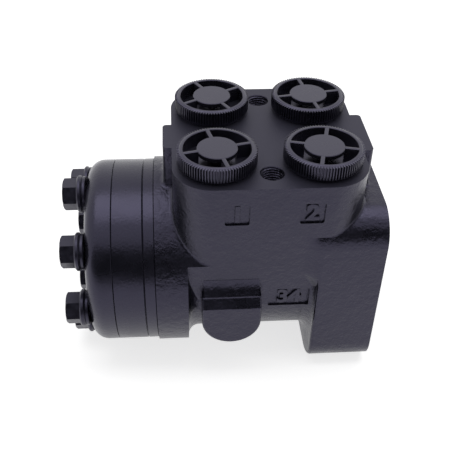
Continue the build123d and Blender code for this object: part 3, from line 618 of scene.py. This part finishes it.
# Heights, from the run-out near the round underside up to the port block.
BLEND_LOW = -14.0
FIELD_LOW = -6.0               # the sunk field of the lower numeral
FIELD_HIGH = 7.0
BLEND_FULL = 16.0
BLEND_HIGH = 36.5

# Reach of the blend along the wall, behind the flange.
RUN_OUT_REACH = 0.5
FIELD_REACH = 2.3
FULL_REACH = 7.0

BLEND_LAP = 1.5                # over the rounded rim of the flange
BLEND_INTO_WALL = 0.3          # where the flange is narrower than the wall
BLEND_THICKNESS = 2.0
BLEND_STEPS = (14, 44)         # along the wall, and up it


def wall_half(z):
    """Half the width of the casting behind the flange at a height."""
    return WAIST_HALF + WALL_DRAFT * z if z > 0 else math.sqrt(WAIST_HALF ** 2 - z ** 2)


def flange_half(z):
    """Half the width of the rounded flange at a height."""
    rise = max(abs(z) - (FLANGE_HALF_HEIGHT - FLANGE_CORNER_R), 0)
    return FLANGE_HALF - FLANGE_CORNER_R + math.sqrt(FLANGE_CORNER_R ** 2 - rise ** 2)


def smooth(low, high, value):
    """Eased step from 0 at the low value to 1 at the high one."""
    t = min(max((value - low) / (high - low), 0), 1)
    return t * t * (3 - 2 * t)


def flange_blend(name, side):
    """Soft S-shaped web of cast metal from the side wall to the side of the flange."""
    shape = bmesh.new()
    steps_along, steps_up = BLEND_STEPS
    bmesh.ops.create_grid(shape, x_segments=steps_along, y_segments=steps_up, size=0.5)
    for vert in shape.verts:
        along, up = vert.co.x + 0.5, vert.co.y + 0.5       # 0 to 1 over the grid
        z = BLEND_LOW + up * (BLEND_HIGH - BLEND_LOW)
        reach = (RUN_OUT_REACH + (FIELD_REACH - RUN_OUT_REACH) * smooth(BLEND_LOW, FIELD_LOW, z)
                 + (FULL_REACH - FIELD_REACH) * smooth(FIELD_HIGH, BLEND_FULL, z))
        at_wall = wall_half(z)
        at_flange = max(flange_half(z), at_wall - BLEND_INTO_WALL)
        vert.co = (FLANGE_BACK - reach + along * (reach + BLEND_LAP),
                   side * (at_wall + (at_flange - at_wall) * smooth(0, 1, along)), z)
    inner_side = verts_in(bmesh.ops.extrude_face_region(shape, geom=shape.faces[:])["geom"])
    bmesh.ops.translate(shape, vec=(0, -side * BLEND_THICKNESS, 0), verts=inner_side)
    close_shells(shape)
    new_piece(name, shape, "housing", "cast_black", smooth_angle=50.0)


flange_blend("casting_flange_blend_front", side=-1)
flange_blend("casting_flange_blend_back", side=1)


# ---- stage and camera, in metres and degrees -----------------------------------------------

FLOOR_SIZE = 6.0
FLOOR_GAP = 0.0005             # under the lowest point of the unit
FLOOR_GLOW = 0.7               # keeps the floor white to the camera and in reflections
SKY_DIRECT = 1.0               # what the camera and reflections see of the white surroundings
SKY_FILL = 0.3                 # what they add to the light, low enough to leave a shadow

SOFTBOX_SIZE = (1.1, 0.5)
SOFTBOX_PLACE = (-0.06, 0.03, 0.8)
SOFTBOX_WATTS = 2.9

CARD_SIZE = (2.6, 1.1)
CARD_X = -0.06
CARD_DISTANCE = 0.9
CARD_ELEVATION = 31.0          # above the horizon, on the -Y side

CAMERA_PLACE = (-0.0901, -0.2793, 0.2362)
CAMERA_YAW = 4.49              # towards +X
CAMERA_PITCH = 38.58           # down from the horizon
CAMERA_ROLL = 1.12
CAMERA_LENS = 58.7             # millimetres, on a sensor of the next width
CAMERA_SENSOR = 36.0
CAMERA_NEAREST = 0.01


def paper_floor():
    """White paper under the unit: it takes the soft shadow, and its glow keeps it as light as the sky."""
    bpy.ops.mesh.primitive_plane_add(size=FLOOR_SIZE, location=(0, 0, cad_box[0][2] - FLOOR_GAP))
    floor = bpy.context.object
    floor.name = "studio_floor"
    material, tree, place = new_material("white_paper_sweep")
    fibres = add(tree, "ShaderNodeTexNoise", {"Scale": scale_for(PAPER_FIBRE), "Detail": 2.0},
                 {"Vector": place}).outputs["Fac"]
    tone = add(tree, "ShaderNodeMix", {"data_type": "RGBA", "A": linear("efefef"), "B": linear("f4f4f4")},
               {"Factor": fibres}).outputs["Result"]
    paper = add(tree, "ShaderNodeBsdfDiffuse", links={"Color": tone}).outputs[0]
    glow = add(tree, "ShaderNodeEmission", {"Color": linear("ffffff"), "Strength": FLOOR_GLOW}).outputs[0]
    ray = add(tree, "ShaderNodeLightPath").outputs
    seen = add(tree, "ShaderNodeMath", {"operation": "MAXIMUM"},
               {0: ray["Is Camera Ray"], 1: ray["Is Glossy Ray"]}).outputs[0]
    glow_if_seen = add(tree, "ShaderNodeMixShader", links={0: seen, 2: glow}).outputs[0]
    surface = add(tree, "ShaderNodeAddShader", links={0: paper, 1: glow_if_seen}).outputs[0]
    add(tree, "ShaderNodeOutputMaterial", links={"Surface": surface})
    floor.data.materials.append(material)


def white_surroundings():
    """White on all sides, full strength where it is seen and weaker as a light."""
    world = bpy.data.worlds.new("white_studio")
    world.use_nodes = True
    tree = world.node_tree
    tree.nodes.clear()
    ray = add(tree, "ShaderNodeLightPath").outputs
    seen = ray["Is Camera Ray"]
    for kind in ("Is Transmission Ray", "Is Glossy Ray"):
        seen = add(tree, "ShaderNodeMath", {"operation": "MAXIMUM"}, {0: seen, 1: ray[kind]}).outputs[0]
    strength = add(tree, "ShaderNodeMapRange", {"To Min": SKY_FILL, "To Max": SKY_DIRECT},
                   {"Value": seen}).outputs[0]
    sky = add(tree, "ShaderNodeBackground", {"Color": linear("ffffff")}, {"Strength": strength}).outputs[0]
    add(tree, "ShaderNodeOutputWorld", links={"Surface": sky})
    bpy.context.scene.world = world


def overhead_softbox():
    """Wide soft lamp overhead, for the light on the port face and the shadow on the floor."""
    lamp = bpy.data.lights.new("overhead_softbox", "AREA")
    lamp.shape = "RECTANGLE"
    lamp.size, lamp.size_y = SOFTBOX_SIZE
    lamp.energy = SOFTBOX_WATTS
    holder = bpy.data.objects.new("overhead_softbox", lamp)
    holder.location = SOFTBOX_PLACE
    bpy.context.scene.collection.objects.link(holder)


def dark_card():
    """Studio flag of black card on the camera side. Only reflections show it: the faces turned to the
    camera mirror it and stay dark, and the enamel is bright only where it mirrors the white around."""
    bpy.ops.mesh.primitive_plane_add(size=1.0)
    card = bpy.context.object
    card.name = "studio_flag"
    card.scale = (*CARD_SIZE, 1.0)
    elevation = math.radians(CARD_ELEVATION)
    card.rotation_euler.x = math.pi / 2 + elevation
    card.location = (CARD_X, -CARD_DISTANCE * math.cos(elevation), CARD_DISTANCE * math.sin(elevation))
    material, tree, place = new_material("black_flock_card")
    flock = add(tree, "ShaderNodeTexNoise", {"Scale": scale_for(FLOCK_TUFT), "Detail": 2.0},
                {"Vector": place}).outputs["Fac"]
    tone = add(tree, "ShaderNodeMix", {"data_type": "RGBA", "A": linear("101010"), "B": linear("181818")},
               {"Factor": flock}).outputs["Result"]
    surface = add(tree, "ShaderNodeBsdfDiffuse", links={"Color": tone}).outputs[0]
    add(tree, "ShaderNodeOutputMaterial", links={"Surface": surface})
    card.data.materials.append(material)
    card.visible_camera = False
    card.visible_diffuse = False
    card.visible_shadow = False


def camera():
    """Looks down at the unit from the -Y side, a little towards +X."""
    lens = bpy.data.cameras.new("camera")
    lens.lens = CAMERA_LENS
    lens.sensor_width = CAMERA_SENSOR
    lens.clip_start = CAMERA_NEAREST
    holder = bpy.data.objects.new("camera", lens)
    holder.matrix_world = (Matrix.Translation(CAMERA_PLACE)
                           @ Matrix.Rotation(math.radians(-CAMERA_YAW), 4, "Z")
                           @ Matrix.Rotation(math.radians(90 - CAMERA_PITCH), 4, "X")
                           @ Matrix.Rotation(math.radians(CAMERA_ROLL), 4, "Z"))
    bpy.context.scene.collection.objects.link(holder)
    bpy.context.scene.camera = holder


paper_floor()
white_surroundings()
overhead_softbox()
dark_card()
camera()
bpy.context.scene.view_settings.view_transform = "Standard"
